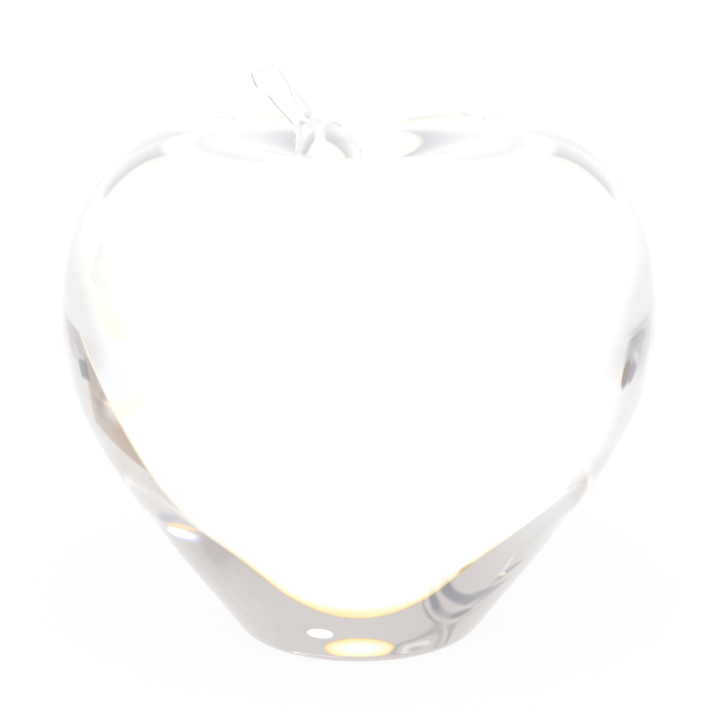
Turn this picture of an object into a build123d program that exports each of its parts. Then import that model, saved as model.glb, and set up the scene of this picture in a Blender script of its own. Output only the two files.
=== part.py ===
"""Solid clear crystal apple, a paperweight made at the furnace, in two pieces of glass.

apple_body is one heavy gather, turned to an apple's outline, with a dimple in its top and a flat ground foot.
stem is one hot bit, bedded by its bulbous root in the dimple's floor, pulled up and over to the left and sheared.

Millimetres. The foot rests on Z = 0, centred on the origin, and +Z is up. The view is along +Y: the stem leans
towards -X. A share says how much of a named size a point takes.
"""
import os

from build123d import *

# Driving sizes of the body
apple_radius = 48.6  # at the widest
crest_height = 84.6  # table to the crest that rings the dimple
crest_radius = 26.0
dimple_depth = 5.9  # crest to the middle of the dimple's floor
foot_radius = 16.0  # flat ground land
foot_rounding = 5.4  # fire-polished edge that runs from the land up to the flank
flank_angle = 51  # degrees from the table, where the rounding meets the flank

# Points of the turned outline above the foot's rounding, as shares of apple_radius and crest_height
outline_shares = [
    (0.5035, 0.090),
    (0.614, 0.170),
    (0.7277, 0.260),
    (0.872, 0.390),
    (0.9703, 0.520),
    (0.9988, 0.645),
    (0.8932, 0.885),
    (0.7024, 0.982),
]
# The dimple's wall, halfway in, as shares of crest_radius and dimple_depth
dimple_wall_share = (0.5, 0.45)

# Driving sizes of the stem
root_width = 11.0  # across the bulb that spreads in the dimple
root_offset = 5.0  # from the apple's axis, to the left
rod_width = 4.7
stem_rise = 18.1  # underside of the root to the top of the sheared end
stem_reach = 10.3  # how far the end lies to the left of the root
bed_depth = 1.2  # how far the root sank into the soft floor of the dimple
root_depth_share = 0.92  # front-to-back size of the root, as a share of its width
rod_depth_share = 0.95  # the same of the rod

# Cross sections of the stem from the root's underside to the sheared end. The shares are of stem_reach, stem_rise
# and of the section's own width; the last value is the slope of the section's plane in degrees, right side up.
root_section_shares = [
    (0.00, 0.000, 0.60, 0),
    (0.00, 0.090, 0.91, 0),
    (-0.01, 0.205, 1.00, 0),
    (0.01, 0.325, 0.93, 2),
    (0.11, 0.405, 0.75, 9),
]
rod_section_shares = [
    (0.265, 0.460, 1.26, 18),
    (0.38, 0.525, 0.99, 23),
    (0.52, 0.620, 0.945, 26),
    (0.705, 0.745, 0.97, 26),
    (0.79, 0.805, 1.00, 25),
    (0.905, 0.865, 1.11, 18),
    (0.975, 0.935, 1.07, 9),
    (0.995, 0.980, 0.87, 4),
    (1.00, 1.000, 0.50, 3),
]

# The stem, lofted up through its sections
root_height = crest_height - dimple_depth - bed_depth
section_sizes = [(share, root_width, root_depth_share) for share in root_section_shares]
section_sizes += [(share, rod_width, rod_depth_share) for share in rod_section_shares]

with BuildPart() as stem:
    for (reach_share, rise_share, width_share, slope), width, depth_share in section_sizes:
        middle = (-root_offset - reach_share * stem_reach, 0, root_height + rise_share * stem_rise)
        half_width = width_share * width / 2
        section_plane = Plane(middle).rotated((0, -slope, 0))
        with BuildSketch(section_plane):
            Ellipse(half_width, half_width * depth_share)
    loft()
stem.part.label = "stem"

# The body, turned about its axis, with the bed that the root of the stem lies in
outline_points = [(r_share * apple_radius, z_share * crest_height) for r_share, z_share in outline_shares]
crest = (crest_radius, crest_height)
dimple_wall = (dimple_wall_share[0] * crest_radius, crest_height - dimple_wall_share[1] * dimple_depth)
dimple_floor = (0, crest_height - dimple_depth)

with BuildPart() as apple_body:
    with BuildSketch(Plane.XZ):
        with BuildLine():
            land = Line((0, 0), (foot_radius, 0))
            edge = JernArc(land @ 1, land % 1, foot_rounding, flank_angle)
            Spline(edge @ 1, *outline_points, crest, dimple_wall, dimple_floor, tangents=(edge % 1, (-1, 0)))
            Line(dimple_floor, (0, 0))
        make_face()
    revolve(axis=Axis.Z)
    add(stem.part, mode=Mode.SUBTRACT)
apple_body.part.label = "apple_body"

os.makedirs("parts", exist_ok=True)
export_step(apple_body.part, "parts/apple_body.step")
export_step(stem.part, "parts/stem.step")
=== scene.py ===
"""Solid clear crystal apple on a white sweep.

The body is turned, the stem is hot-pulled, and they are fused where they touch. Clear glass shows
what is around it, so the room is painted here in directions and the table in millimetres.
"""

import math

import bpy
import numpy as np
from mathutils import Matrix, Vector


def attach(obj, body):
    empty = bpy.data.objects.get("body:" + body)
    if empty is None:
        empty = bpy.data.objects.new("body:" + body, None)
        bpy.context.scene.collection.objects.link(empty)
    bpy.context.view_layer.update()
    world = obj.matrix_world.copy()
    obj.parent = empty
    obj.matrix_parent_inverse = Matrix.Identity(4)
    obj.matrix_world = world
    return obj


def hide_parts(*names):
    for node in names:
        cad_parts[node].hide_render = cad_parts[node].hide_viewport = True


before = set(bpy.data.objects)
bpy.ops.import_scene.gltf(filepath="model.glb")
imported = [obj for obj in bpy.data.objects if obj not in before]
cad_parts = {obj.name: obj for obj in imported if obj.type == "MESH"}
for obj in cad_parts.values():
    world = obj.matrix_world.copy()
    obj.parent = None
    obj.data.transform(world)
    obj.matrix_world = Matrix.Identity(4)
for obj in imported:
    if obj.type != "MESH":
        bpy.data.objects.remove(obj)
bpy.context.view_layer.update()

# Sizes are in millimetres until a mesh, a material or the camera takes them. Directions are in
# degrees of azimuth, 0 along +Y and positive towards +X, and of elevation
MM = 0.001  # of a metre
DEGREES = math.degrees(1)  # in a radian
WHITE = (1, 1, 1)

# The turned outline, as in the part's source; shares of APPLE_RADIUS and CREST_HEIGHT
APPLE_RADIUS, CREST_HEIGHT = 48.6, 84.6
CREST_RADIUS, DIMPLE_DEPTH = 26.0, 5.9
FOOT_RADIUS, FOOT_ROUNDING, FLANK_ANGLE = 16.0, 5.4, math.radians(51)
OUTLINE_SHARES = [
    (0.5035, 0.090),
    (0.614, 0.170),
    (0.7277, 0.260),
    (0.872, 0.390),
    (0.9703, 0.520),
    (0.9988, 0.645),
    (0.8932, 0.885),
    (0.7024, 0.982),
]
DIMPLE_WALL_SHARE = (0.5, 0.45)  # of CREST_RADIUS and DIMPLE_DEPTH

# The stem, as in the part's source. A section is a share of STEM_REACH, of STEM_RISE and of the
# width of root or rod, and the slope of its plane in degrees
ROOT_WIDTH, ROD_WIDTH = 11.0, 4.7
ROOT_DEPTH_SHARE, ROD_DEPTH_SHARE = 0.92, 0.95
ROOT_OFFSET, BED_DEPTH = 5.0, 1.2
STEM_REACH, STEM_RISE = 10.3, 18.1
ROOT_SECTIONS = [
    (0.00, 0.000, 0.60, 0),
    (0.00, 0.090, 0.91, 0),
    (-0.01, 0.205, 1.00, 0),
    (0.01, 0.325, 0.93, 2),
    (0.11, 0.405, 0.75, 9),
]
ROD_SECTIONS = [
    (0.265, 0.460, 1.26, 18),
    (0.38, 0.525, 0.99, 23),
    (0.52, 0.620, 0.945, 26),
    (0.705, 0.745, 0.97, 26),
    (0.79, 0.805, 1.00, 25),
    (0.905, 0.865, 1.11, 18),
    (0.975, 0.935, 1.07, 9),
    (0.995, 0.980, 0.87, 4),
    (1.00, 1.000, 0.50, 3),
]
ROOT_BASE = CREST_HEIGHT - DIMPLE_DEPTH - BED_DEPTH  # height of the root's underside

# How finely the meshes are cut
SEGMENTS = 192  # points around every ring
ROUNDING_POINTS = 14  # on the foot's rounding
OUTLINE_STEPS, STEM_STEPS = 30, 30  # from each knot of a curve to the next
DIMPLE_STEPS = 200  # the same, for reading heights in the dimple
LAND_RADII = (4.0, 8.0, 12.0)  # rings on the flat foot
FLOOR_RADIUS, FLOOR_GAP = 14.0, 0.3  # within, rings pass from round to the root's loop
FLOOR_RINGS, BED_RINGS, STEM_RINGS = 33, 15, 170
CAP_SHARES = (0.75, 0.5, 0.25)  # rings on the sheared end, as shares of its rim

# The glass
CRYSTAL_IOR = 1.5
SPREADS = [(0.004, 0.75), (0.010, 0.55)]  # green's and blue's extra index, and least share of each
LEAST_PASSED = 0.0005  # share of red; a face that passes less turns all colours back
FRINGE_FADE = (34, 26)  # heights above the table

# Limits named FADE are where an effect is nil and where it is full. A patch of tone is its middle,
# its half size, a turn in degrees, the softness of its edge and its colour. It is an oval, or a
# box if BOX follows. Each patch lies over those before it
BOX = True

# The table: white to the eye, with the soft shadow that the lamp throws on it. Through the glass
# it shows a painted tone: the lit sweep, with painted dimming of its light towards both sides. The
# patches are in millimetres: painted shade in front of the apple, a dark surface far to the left,
# and a painted warm light behind at the right
TABLE_RADIUS, TABLE_DROP = 3.0, 0.00005  # metres; the drop keeps it clear of the foot
PAPER = (0.92, 0.92, 0.915)
SEEN_LIT = 0.03  # how much of the table's look comes from the light on it
SWEEP, SWEEP_DIMMED = (1.12, 1.12, 1.12), (0.87, 0.855, 0.86)
ASIDE_FADE, TURN_FADE = (60, 260), (33, 52)  # millimetres aside, degrees from straight ahead
SHADES = [
    ((-12, -76), (20, 14), 0, 0.3, (0.70, 0.68, 0.67)),
    ((12, -76), (20, 14), 0, 0.3, (0.70, 0.68, 0.67)),
    ((-1950, 1125), (1250, 300), -30, 0.4, (0.55, 0.54, 0.54)),
    ((300, 400), (42, 260), -37, 0.7, (1.03, 1.01, 0.90)),
]
# The apple's own shadow is painted behind it, on both sides of its axis, and ends in a painted
# warm edge of light that slopes away: stops are millimetres past the edge, and the colour there
SHADE_EDGE, SHADE_SLOPE = 67.0, 0.33
SHADE_INNER_FADE, SHADE_OUTER_FADE = (2.5, 11), (75, 52)
SHADE_STOPS = [
    (-20, (1.0, 1.0, 1.0)),
    (-9, (0.79, 0.79, 0.83)),
    (-1.5, (0.62, 0.62, 0.66)),
    (0.8, (1.0, 0.97, 0.88)),
    (4.0, (1.0, 1.0, 0.97)),
]

# The room's walls and ceiling: elevation, tone there at the left, and tone at the right
ZENITH = 90
WALLS = [
    (0, (0.86, 0.85, 0.84), (0.78, 0.76, 0.75)),
    (20, (0.80, 0.79, 0.78), (0.73, 0.69, 0.67)),
    (36, (0.72, 0.70, 0.68), (0.62, 0.58, 0.56)),
    (45, (0.66, 0.62, 0.60), (0.57, 0.53, 0.52)),
    (58, (0.60, 0.56, 0.54), (0.63, 0.58, 0.56)),
    (ZENITH, (0.66, 0.61, 0.59), (0.66, 0.61, 0.59)),
]
WALL_FADE = (-0.45, 0.45)  # from the left tone to the right one, over the direction's X
# What stands beside and behind, and shows past the backdrop's edges
BESIDE = [
    ((180, 34), (11, 32), 0, 0.4, (0.85, 0.84, 0.84)),
    ((-180, 34), (11, 32), 0, 0.4, (0.85, 0.84, 0.84)),
    ((66, 2.2), (11, 4), 0, 0.5, (0.46, 0.42, 0.43)),
    ((47, 14.3), (11.6, 6.3), -17, 0.09, (0.50, 0.37, 0.27), BOX),
    ((51, 12.0), (5, 1.2), 0, 0.5, (0.33, 0.25, 0.22)),
    ((51.5, 13.9), (4.6, 0.9), 3, 0.5, (0.33, 0.27, 0.32)),
    ((54, 15.8), (4.6, 0.7), 5, 0.5, (0.45, 0.40, 0.30)),
    ((52.5, 6.2), (5.2, 2.6), -8, 0.15, (0.42, 0.36, 0.30), BOX),
    ((59.3, 6.8), (3.6, 1.9), 8, 0.25, (0.11, 0.115, 0.12), BOX),
    ((63.5, 4.2), (2.6, 1.5), -10, 0.5, (0.62, 0.55, 0.55)),
    ((48.9, 9.0), (2.0, 1.1), 20, 0.6, (0.24, 0.18, 0.12)),
    ((47.5, 10.4), (2.2, 0.5), 8, 0.5, (0.90, 0.55, 0.20)),
    ((-68, 3.5), (7, 6), 0, 0.5, (0.58, 0.57, 0.59)),
]
# The backdrop is white up to its top and between its edges, dims low at both sides, and is warm
# along its right edge. Below EDGE_RISE that edge bends outwards, by EDGE_BEND times the degrees
# below it to the power EDGE_POWER
BACKDROP, BACKDROP_DIMMED = (1.12, 1.12, 1.12), (0.83, 0.81, 0.81)
TOP_FADE, LEFT_FADE = (58, 50), (-62, -42)
SIDES_FADE, LOW_FADE = (35, 53), (9, 2)  # for BACKDROP_DIMMED
BACKDROP_WARM, WARM_FADE = (1.05, 0.95, 0.77), (-3.0, -0.2)  # degrees past the right edge
RIGHT_EDGE, EDGE_BEND, EDGE_RISE, EDGE_POWER, EDGE_SOFT = 41.3, 0.0531, 22, 1.86, 0.8
# What hangs and stands before all that: the lamps' openings, dark things, and streaks of light
BEFORE = [
    ((0, 62), (46, 27), 0, 0.25, (1.35, 1.33, 1.27), BOX),
    ((0, 50), (46, 8), 0, 0.6, (1.5, 1.42, 1.20), BOX),
    ((2, 44.3), (16, 2.8), 0, 0.9, (1.3, 1.2, 0.6)),
    ((0, 66), (60, 8), 0, 0.2, (0.65, 0.60, 0.58), BOX),
    ((40, 7.8), (9, 2.2), 27, 0.9, (1.1, 1.03, 0.88)),
    ((40, 3.6), (8, 3), 27, 0.9, (0.98, 1.0, 1.07)),
    ((-58, 3.0), (6.6, 5.4), 0, 0.3, (0.45, 0.43, 0.44)),
    ((-53.6, 6.2), (2.4, 2.9), 18, 0.25, (0.22, 0.17, 0.13)),
    ((-57.6, 6.8), (2.8, 2.2), -12, 0.4, (0.22, 0.20, 0.25)),
    ((-59.5, 4.4), (3.6, 0.9), -30, 0.5, (0.62, 0.60, 0.68)),
    ((-60, 0.4), (6.5, 1.5), -8, 0.5, (0.36, 0.36, 0.37)),
    ((-50.2, 5.5), (0.8, 2.4), 12, 0.5, (1.0, 0.90, 0.80)),
    ((-31.5, 44.0), (4.5, 1.2), -38, 0.5, (0.75, 0.45, 0.12)),
    ((133, 42), (3.2, 6), 10, 0.5, (0.48, 0.43, 0.43)),
    ((141, 31.0), (6.3, 1.5), -27, 0.4, (1.1, 0.78, 0.45)),
    ((141.5, 36.2), (5.5, 1.4), -20, 0.5, (0.66, 0.68, 0.98)),
    ((143, 33.4), (6.8, 1.8), -27, 0.4, (1.6, 1.6, 1.6)),
    ((144, 25.5), (5.5, 2.6), -20, 0.5, (0.50, 0.48, 0.56)),
    ((110.0, 71.6), (9.0, 1.0), 68, 0.4, (1.4, 1.4, 1.45)),
    ((-112.8, 61.6), (3.7, 2.6), 0, 0.3, (0.43, 0.42, 0.41)),
    ((-112.9, 61.0), (2.6, 1.6), 0, 0.3, (0.60, 0.57, 0.54)),
    ((-112.8, 60.3), (1.2, 0.7), 0, 0.4, (0.80, 0.76, 0.70)),
    ((-119.2, 63.4), (5.5, 0.45), 6, 0.5, (0.40, 0.38, 0.37)),
    ((-127, 61.3), (4.5, 0.4), 27, 0.5, (0.44, 0.42, 0.41)),
    ((-136, 53.8), (8.5, 0.8), 27, 0.6, (0.42, 0.40, 0.40)),
    ((-124, 60.1), (5.2, 0.95), 17, 0.5, (0.27, 0.27, 0.29)),
    ((-139.5, 47.8), (6.5, 0.8), 37, 0.6, (0.38, 0.34, 0.35)),
    ((-130, 54.9), (7.0, 0.95), 18, 0.5, (0.33, 0.32, 0.34)),
    ((-125.6, 56.4), (2.4, 1.05), 15, 0.5, (0.27, 0.27, 0.31)),
    ((-136.6, 49.4), (2.0, 0.5), 10, 0.5, (0.95, 0.80, 0.62)),
    ((-136.5, 46.5), (0.5, 2.5), -15, 0.5, (0.85, 0.82, 0.80)),
]
MATT_LIGHT = 0.6  # the room's strength on matt surfaces

# A large soft lamp in front, well above; only matt surfaces take its light
LAMP_WIDTH, LAMP_STRENGTH, LAMP_RISE = math.radians(40), 2.4, math.radians(62)

# The photograph's camera
VIEW_RISE, VIEW_DISTANCE, VIEW_MIDDLE = math.radians(13.8), 500.0, (0.165, 0, 46.65)
MM_PER_PIXEL, IMAGE_WIDTH, SENSOR_WIDTH = 98 / 593, 720, 36
CLIP_START = 0.01  # metres

BOUNCES, CLEAR_BOUNCES = 48, 16  # light runs often round the rim before it leaves the glass


# Shapes

def spline(rows, per_span, tangents=None):
    """Rows of a smooth curve through rows, by the distance between their first two columns.

    tangents are the unit ones at its two ends, which are free without them.
    """
    p = np.array(rows, float)
    h = np.hypot(*np.diff(p[:, :2], axis=0).T)
    n = len(p)
    a, b = np.zeros((n, n)), np.zeros_like(p)
    for i in range(1, n - 1):
        a[i, i - 1:i + 2] = h[i], 2 * (h[i - 1] + h[i]), h[i - 1]
        b[i] = 3 * (h[i] * (p[i] - p[i - 1]) / h[i - 1] + h[i - 1] * (p[i + 1] - p[i]) / h[i])
    if tangents:
        a[0, 0] = a[-1, -1] = 1
        b[0], b[-1] = tangents
    else:
        a[0, :2], a[-1, -2:] = (2, 1), (1, 2)
        b[0], b[-1] = 3 * (p[1] - p[0]) / h[0], 3 * (p[-1] - p[-2]) / h[-1]
    m = np.linalg.solve(a, b)
    s = np.linspace(0, 1, per_span, endpoint=False)[:, None]
    curve = [(2 * s ** 3 - 3 * s ** 2 + 1) * p[i] + (s ** 3 - 2 * s ** 2 + s) * h[i] * m[i]
             + (3 * s ** 2 - 2 * s ** 3) * p[i + 1] + (s ** 3 - s ** 2) * h[i] * m[i + 1]
             for i in range(n - 1)]
    return np.vstack(curve + [p[-1:]])


def body_outline(per_span):
    """(r, z) rows from the foot's rim up over the crest and into the middle of the dimple."""
    turn = np.linspace(0, FLANK_ANGLE, ROUNDING_POINTS)
    edge = np.column_stack([FOOT_RADIUS + FOOT_ROUNDING * np.sin(turn),
                            FOOT_ROUNDING * (1 - np.cos(turn))])
    knots = [tuple(edge[-1])]
    knots += [(r * APPLE_RADIUS, z * CREST_HEIGHT) for r, z in OUTLINE_SHARES]
    wall_r, wall_z = DIMPLE_WALL_SHARE
    knots += [(CREST_RADIUS, CREST_HEIGHT),
              (wall_r * CREST_RADIUS, CREST_HEIGHT - wall_z * DIMPLE_DEPTH),
              (0, CREST_HEIGHT - DIMPLE_DEPTH)]
    flank = (math.cos(FLANK_ANGLE), math.sin(FLANK_ANGLE))
    return np.vstack([edge[:-1], spline(knots, per_span, (flank, (-1, 0)))])


fine_outline = body_outline(DIMPLE_STEPS)
dimple = fine_outline[np.argmax(fine_outline[:, 1]):][::-1]
around = np.linspace(0, 2 * math.pi, SEGMENTS, endpoint=False)


def floor_height(x, y):
    """Height of the dimple's surface."""
    return np.interp(np.hypot(x, y), dimple[:, 0], dimple[:, 1])


def stem_columns():
    """Points of the stem's skin, from the underside of the root up to the sheared end.

    One row for each ring and one column for each point around it.
    """
    rows = []
    for sections, width, depth_share in ((ROOT_SECTIONS, ROOT_WIDTH, ROOT_DEPTH_SHARE),
                                         (ROD_SECTIONS, ROD_WIDTH, ROD_DEPTH_SHARE)):
        for reach_share, rise_share, width_share, slope in sections:
            x = -ROOT_OFFSET - reach_share * STEM_REACH
            z = ROOT_BASE + rise_share * STEM_RISE
            rows.append((x, z, width_share * width / 2, depth_share, slope))
    rings = []
    for x, z, half, depth_share, slope in spline(rows, STEM_STEPS):
        lean = math.radians(slope)
        rings.append(np.column_stack([x + half * np.cos(around) * math.cos(lean),
                                      half * depth_share * np.sin(around),
                                      z + half * np.cos(around) * math.sin(lean)]))
    return np.array(rings)


def stem_rings():
    """Rings of the stem's skin: bedded in the dimple's floor, and above it.

    The last bedded ring is the loop where the root comes out of the floor.
    """
    columns = stem_columns()
    steps = np.arange(len(columns))
    gap = columns[:, :, 2] - floor_height(columns[:, :, 0], columns[:, :, 1])
    crossing = np.empty(SEGMENTS)
    for k in range(SEGMENTS):
        j = int(np.argmax(gap[:, k] > 0))
        crossing[k] = j - gap[j, k] / (gap[j, k] - gap[j - 1, k])

    def along(shares, start, stop):
        """Rings at shares of the way from start to stop, which are a step for each column."""
        rings = []
        for share in shares:
            at = start + (stop - start) * share
            rings.append(np.column_stack([[np.interp(at[k], steps, columns[:, k, axis])
                                           for k in range(SEGMENTS)] for axis in range(3)]))
        return rings

    bedded = along(np.linspace(0, 1, BED_RINGS), np.zeros(SEGMENTS), crossing)
    bedded[-1][:, 2] = floor_height(bedded[-1][:, 0], bedded[-1][:, 1])
    above = along(np.linspace(0, 1, STEM_RINGS + 1)[1:], crossing,
                  np.full(SEGMENTS, len(steps) - 1.0))
    return bedded, above


def body_rings(loop):
    """Rings of the body's skin: foot, flank, crest and dimple, up to the root's loop."""
    outline = body_outline(OUTLINE_STEPS)
    top = int(np.argmax(outline[:, 1]))
    profile = [(r, 0.0) for r in LAND_RADII] + [(r, z) for r, z in outline[:top]]
    profile += [(r, z) for r, z in outline[top:] if r > FLOOR_RADIUS + FLOOR_GAP]
    rings = [np.column_stack([r * np.cos(around), r * np.sin(around), np.full(SEGMENTS, z)])
             for r, z in profile]
    for share in np.linspace(0, 1, FLOOR_RINGS + 1)[:-1]:
        x = FLOOR_RADIUS * np.cos(around) * (1 - share) + loop[:, 0] * share
        y = FLOOR_RADIUS * np.sin(around) * (1 - share) + loop[:, 1] * share
        rings.append(np.column_stack([x, y, floor_height(x, y)]))
    return rings


def piece(name, rings, first, last, contact, sharp_ring, materials):
    """Closed skin over rings of points, with fans to the points first and last.

    The faces from ring contact[0] to ring contact[1], and a fan that follows on, wear the second
    material. The edges along sharp_ring stay sharp, if it isn't None.
    """
    low, high = contact
    verts = [first] + [tuple(point) for ring in rings for point in ring] + [last]
    pairs = [(k, (k + 1) % SEGMENTS) for k in range(SEGMENTS)]
    faces = [(0, 1 + b, 1 + a) for a, b in pairs]
    slots = [int(low == 0)] * SEGMENTS
    for i in range(len(rings) - 1):
        lower, upper = 1 + i * SEGMENTS, 1 + (i + 1) * SEGMENTS
        faces += [(lower + a, lower + b, upper + b, upper + a) for a, b in pairs]
        slots += [int(low <= i < high)] * SEGMENTS
    top = 1 + (len(rings) - 1) * SEGMENTS
    faces += [(top + a, top + b, len(verts) - 1) for a, b in pairs]
    slots += [int(high >= len(rings) - 1)] * SEGMENTS
    mesh = bpy.data.meshes.new(name)
    mesh.from_pydata([Vector(v) * MM for v in verts], [], faces)
    for material in materials:
        mesh.materials.append(material)
    mesh.polygons.foreach_set("material_index", slots)
    mesh.shade_smooth()
    if sharp_ring is not None:
        sharp = range(1 + sharp_ring * SEGMENTS, 1 + (sharp_ring + 1) * SEGMENTS)
        for edge in mesh.edges:
            if edge.vertices[0] in sharp and edge.vertices[1] in sharp:
                edge.use_edge_sharp = True
    mesh.update()
    return placed(name, mesh)


def placed(name, data):
    """A new object of data in the scene."""
    made = bpy.data.objects.new(name, data)
    bpy.context.scene.collection.objects.link(made)
    return made


# Shader nodes

def new_tree(block):
    """The empty node tree of a material or world."""
    block.use_nodes = True
    block.node_tree.nodes.clear()
    return block.node_tree


def node(tree, kind, ins=None, **settings):
    """A new node; ins are sockets or values for its inputs."""
    made = tree.nodes.new("ShaderNode" + kind)
    for key, value in settings.items():
        setattr(made, key, value)
    for key, value in (ins or {}).items():
        if isinstance(value, bpy.types.NodeSocket):
            tree.links.new(value, made.inputs[key])
        else:
            made.inputs[key].default_value = value
    return made


def math_node(tree, operation, *values, clamp=False):
    """The result of a Math node over sockets or numbers."""
    ins = dict(enumerate(values))
    return node(tree, "Math", ins, operation=operation, use_clamp=clamp).outputs[0]


def times(tree, *values):
    """The product of two or more sockets or numbers."""
    product, *others = values
    for value in others:
        product = math_node(tree, "MULTIPLY", product, value)
    return product


def one_less(tree, value, clamp=False):
    """1 minus value."""
    return math_node(tree, "SUBTRACT", 1.0, value, clamp=clamp)


def eased(tree, value, none_at, full_at):
    """0 at none_at, 1 at full_at, eased between them."""
    ins = {"Value": value, "From Min": none_at, "From Max": full_at}
    return node(tree, "MapRange", ins, interpolation_type="SMOOTHSTEP").outputs[0]


def blend(tree, factor, a, b):
    """a where factor is 0, b where it is 1; each a socket or a colour."""
    ins = {"Factor": factor}
    for key, tone in (("A", a), ("B", b)):
        ins[key] = tone if isinstance(tone, bpy.types.NodeSocket) else (*tone, 1)
    return node(tree, "Mix", ins, data_type="RGBA").outputs[2]


def ramp(tree, value, stops):
    """Colour by value; stops are (value, colour), and the end ones hold beyond them."""
    first, last = stops[0][0], stops[-1][0]
    span = last - first
    share = math_node(tree, "MULTIPLY_ADD", value, 1 / span, -first / span)
    made = node(tree, "ValToRGB", {0: share})
    elements = made.color_ramp.elements
    while len(elements) < len(stops):
        elements.new(0.5)  # a place for now
    for element, (at, colour) in zip(elements, stops):
        element.position = (at - first) / span
        element.color = (*colour, 1)
    return made.outputs[0]


def patch(tree, spot, tone, middle, half, turn, soft, colour, box=False):
    """Lays a soft-edged oval or box of colour over tone, in the units of spot."""
    ins = {"Vector": spot, "Location": (*middle, 0), "Rotation": (0, 0, math.radians(turn)),
           "Scale": (*half, 1)}
    local = node(tree, "Mapping", ins, vector_type="TEXTURE").outputs[0]
    if box:
        sizes = node(tree, "VectorMath", {0: local}, operation="ABSOLUTE").outputs[0]
        parts = node(tree, "SeparateXYZ", {0: sizes}).outputs
        reach = math_node(tree, "MAXIMUM", parts[0], parts[1])
    else:
        reach = node(tree, "VectorMath", {0: local}, operation="LENGTH").outputs["Value"]
    return blend(tree, eased(tree, reach, 1 + soft, 1 - soft), tone, colour)


def patches(tree, spot, tone, rows):
    """Lays a patch for each of rows over tone, in their order."""
    for row in rows:
        tone = patch(tree, spot, tone, *row)
    return tone


# Materials

def fringe(tree):
    """Colour for the inner side of the low faces, where they begin to turn light back.

    Blue is turned back a little sooner than red, as in a prism. Blender has one index for all
    colours, so green and blue get what passes at their own index, as a share of what passes at
    red's.
    """
    geometry = node(tree, "NewGeometry").outputs
    height = node(tree, "SeparateXYZ", {0: geometry["Position"]}).outputs[2]
    low = eased(tree, height, *(limit * MM for limit in FRINGE_FADE))
    red = one_less(tree, node(tree, "Fresnel", {"IOR": CRYSTAL_IOR}).outputs[0])
    where = times(tree, low, geometry["Backfacing"],
                  math_node(tree, "GREATER_THAN", red, LEAST_PASSED))
    red = math_node(tree, "MAXIMUM", red, LEAST_PASSED)
    shares = []
    for spread, least in SPREADS:
        other = one_less(tree, node(tree, "Fresnel", {"IOR": CRYSTAL_IOR + spread}).outputs[0])
        lost = one_less(tree, math_node(tree, "DIVIDE", other, red))
        lost = times(tree, lost, 1 - least, where)
        shares.append(one_less(tree, lost, clamp=True))
    ins = {"Red": 1.0, "Green": shares[0], "Blue": shares[1]}
    return node(tree, "CombineColor", ins).outputs[0]


def crystal(name, fringed):
    """Clear crystal, with a prism's fringe low down or without it."""
    material = bpy.data.materials.new(name)
    tree = new_tree(material)
    ins = {"Color": (*WHITE, 1), "Roughness": 0.0, "IOR": CRYSTAL_IOR}
    glass = node(tree, "BsdfGlass", ins)
    node(tree, "OutputMaterial", {"Surface": glass.outputs[0]})
    if fringed:
        tree.links.new(fringe(tree), glass.inputs["Color"])
    return material


def fused(name):
    """Where the two pieces are fused no surface is left, so nothing shows."""
    material = bpy.data.materials.new(name)
    tree = new_tree(material)
    clear = node(tree, "BsdfTransparent", {"Color": (*WHITE, 1)})
    node(tree, "OutputMaterial", {"Surface": clear.outputs[0]})
    return material


def sweep_tone(tree):
    """Tone of the table as it shows through the glass, with painted shadow and painted light."""
    position = node(tree, "NewGeometry").outputs["Position"]
    ins = {0: position, 1: (1 / MM, 1 / MM, 0)}
    spot = node(tree, "VectorMath", ins, operation="MULTIPLY").outputs[0]
    x, y, _ = node(tree, "SeparateXYZ", {0: spot}).outputs
    aside = math_node(tree, "ABSOLUTE", x)

    # Painted shadow of the apple behind it, ending in a painted warm edge of light
    edge = math_node(tree, "MULTIPLY_ADD", aside, SHADE_SLOPE, SHADE_EDGE)
    past = math_node(tree, "SUBTRACT", y, edge)
    shaded = times(tree, eased(tree, aside, *SHADE_INNER_FADE),
                   eased(tree, aside, *SHADE_OUTER_FADE))
    tone = blend(tree, shaded, SWEEP, ramp(tree, past, SHADE_STOPS))
    beyond = math_node(tree, "GREATER_THAN", past, SHADE_STOPS[-1][0])
    tone = blend(tree, beyond, tone, SWEEP)

    # Painted dimming of the sweep's light towards both sides
    turned = times(tree, math_node(tree, "ARCTAN2", aside, y), DEGREES)
    dim = times(tree, eased(tree, aside, *ASIDE_FADE), eased(tree, turned, *TURN_FADE))
    tone = blend(tree, dim, tone, SWEEP_DIMMED)
    # Painted shade in front of the apple, a dark surface far to the left, painted warm light at
    # the right
    return patches(tree, spot, tone, SHADES)


def white_table():
    """White paper. The eye, a reflection and a ray through glass see little but its own glow."""
    material = bpy.data.materials.new("white_table")
    tree = new_tree(material)
    path = node(tree, "LightPath").outputs
    through = path["Is Transmission Ray"]
    seen = math_node(tree, "MAXIMUM", path["Is Camera Ray"],
                     math_node(tree, "MAXIMUM", path["Is Glossy Ray"], through))
    paper = node(tree, "BsdfDiffuse", {"Color": (*PAPER, 1)})
    ins = {"Color": blend(tree, through, WHITE, sweep_tone(tree)), "Strength": 1.0}
    glow = node(tree, "Emission", ins)
    lit = math_node(tree, "MULTIPLY_ADD", seen, SEEN_LIT - 1, 1.0)
    mix = node(tree, "MixShader", {0: lit, 1: glow.outputs[0], 2: paper.outputs[0]})
    node(tree, "OutputMaterial", {"Surface": mix.outputs[0]})
    material.cycles.emission_sampling = "NONE"
    return material


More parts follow.
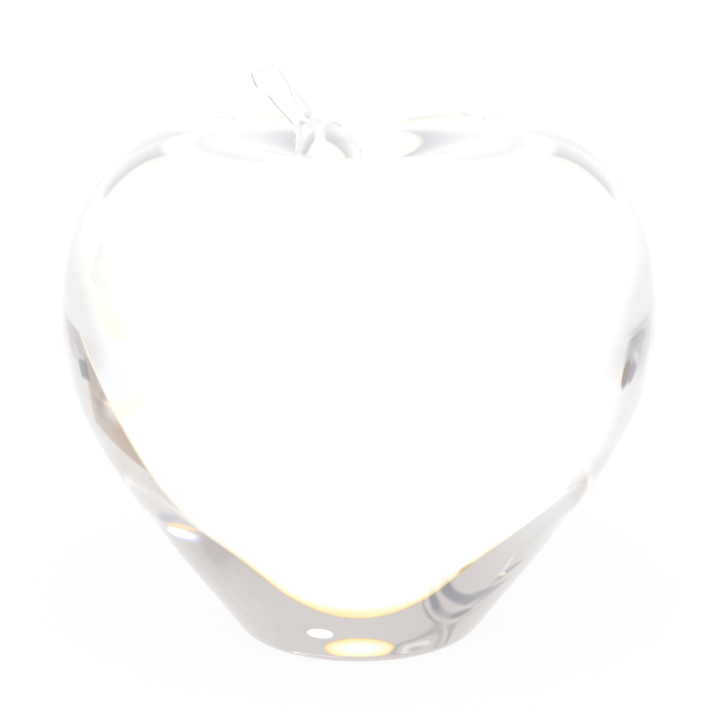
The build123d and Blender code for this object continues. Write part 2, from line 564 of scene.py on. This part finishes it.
def paint_room():
    """The world: white to the camera, and the room to all other rays."""
    world = bpy.data.worlds.new("studio")
    bpy.context.scene.world = world
    tree = new_tree(world)
    direction = node(tree, "TexCoord").outputs["Generated"]
    x, y, z = node(tree, "SeparateXYZ", {0: direction}).outputs
    azimuth = times(tree, math_node(tree, "ARCTAN2", x, y), DEGREES)
    elevation = times(tree, math_node(tree, "ARCSINE", z), DEGREES)
    spot = node(tree, "CombineXYZ", {0: azimuth, 1: elevation}).outputs[0]

    left, right = ([(row[0], row[side]) for row in WALLS] for side in (1, 2))
    tone = blend(tree, eased(tree, x, *WALL_FADE), ramp(tree, elevation, left),
                 ramp(tree, elevation, right))
    tone = patches(tree, spot, tone, BESIDE)

    below = math_node(tree, "SUBTRACT", EDGE_RISE, elevation)
    bend = math_node(tree, "POWER", math_node(tree, "MAXIMUM", below, 0.0), EDGE_POWER)
    edge = math_node(tree, "MULTIPLY_ADD", bend, EDGE_BEND, RIGHT_EDGE)
    past = math_node(tree, "SUBTRACT", azimuth, edge)
    on_backdrop = times(tree, eased(tree, past, EDGE_SOFT, -EDGE_SOFT),
                        eased(tree, azimuth, *LEFT_FADE), eased(tree, elevation, *TOP_FADE))
    aside = math_node(tree, "ABSOLUTE", azimuth)
    low_side = times(tree, eased(tree, aside, *SIDES_FADE), eased(tree, elevation, *LOW_FADE))
    backdrop = blend(tree, low_side, BACKDROP, BACKDROP_DIMMED)
    backdrop = blend(tree, eased(tree, past, *WARM_FADE), backdrop, BACKDROP_WARM)
    tone = blend(tree, on_backdrop, tone, backdrop)
    tone = patches(tree, spot, tone, BEFORE)

    path = node(tree, "LightPath").outputs
    shown = blend(tree, path["Is Camera Ray"], tone, WHITE)
    strength = math_node(tree, "MULTIPLY_ADD", path["Is Diffuse Ray"], MATT_LIGHT - 1, 1.0)
    light = node(tree, "Background", {"Color": shown, "Strength": strength})
    node(tree, "OutputWorld", {"Surface": light.outputs[0]})


# The apple: two closed skins. Each has the faces of the bed, where the two are fused
body_glass, stem_glass = crystal("body_crystal", True), crystal("stem_crystal", False)
seam = fused("fused_seam")
underside = (-ROOT_OFFSET, 0, ROOT_BASE)

bedded, above = stem_rings()
end_middle = above[-1].mean(axis=0)
cap = [end_middle + (above[-1] - end_middle) * share for share in CAP_SHARES]
stem = piece("crystal_stem", bedded + above + cap, underside, tuple(end_middle),
             (0, len(bedded) - 1), None, [stem_glass, seam])

rings, bed = body_rings(bedded[-1]), bedded[::-1]
body = piece("crystal_body", rings + bed, (0, 0, 0), underside,
             (len(rings), len(rings) + len(bed)), len(rings), [body_glass, seam])

for made, cad_node, slot in ((body, "apple_body", "body_crystal"), (stem, "stem", "stem_crystal")):
    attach(made, "root")
    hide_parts(cad_node)

# The table and the room
sheet = bpy.data.meshes.new("table")
rim = [(TABLE_RADIUS * math.cos(a), TABLE_RADIUS * math.sin(a), -TABLE_DROP) for a in around]
sheet.from_pydata(rim, [], [tuple(range(SEGMENTS))])
sheet.materials.append(white_table())
table = placed("table", sheet)
paint_room()

# The lamp
softbox = bpy.data.lights.new("softbox", "SUN")
softbox.angle, softbox.energy = LAMP_WIDTH, LAMP_STRENGTH
lamp = placed("softbox", softbox)
downwards = Vector((0, math.cos(LAMP_RISE), -math.sin(LAMP_RISE)))
lamp.rotation_mode = "QUATERNION"
lamp.rotation_quaternion = downwards.to_track_quat("-Z", "Y")
lamp.visible_camera = lamp.visible_glossy = lamp.visible_transmission = False

# The camera
lens = bpy.data.cameras.new("camera")
lens.sensor_width = SENSOR_WIDTH
lens.lens = SENSOR_WIDTH * VIEW_DISTANCE / MM_PER_PIXEL / IMAGE_WIDTH
lens.clip_start = CLIP_START
camera = placed("camera", lens)
back = Vector((0, -math.cos(VIEW_RISE), math.sin(VIEW_RISE)))
camera.location = (Vector(VIEW_MIDDLE) + back * VIEW_DISTANCE) * MM
camera.rotation_mode = "QUATERNION"
camera.rotation_quaternion = (-back).to_track_quat("-Z", "Y")
bpy.context.scene.camera = camera

scene = bpy.context.scene
scene.view_settings.view_transform = "Standard"
scene.cycles.max_bounces = BOUNCES
scene.cycles.transmission_bounces = BOUNCES
scene.cycles.glossy_bounces = BOUNCES
scene.cycles.transparent_max_bounces = CLEAR_BOUNCES
scene.cycles.caustics_reflective = False
scene.cycles.caustics_refractive = False
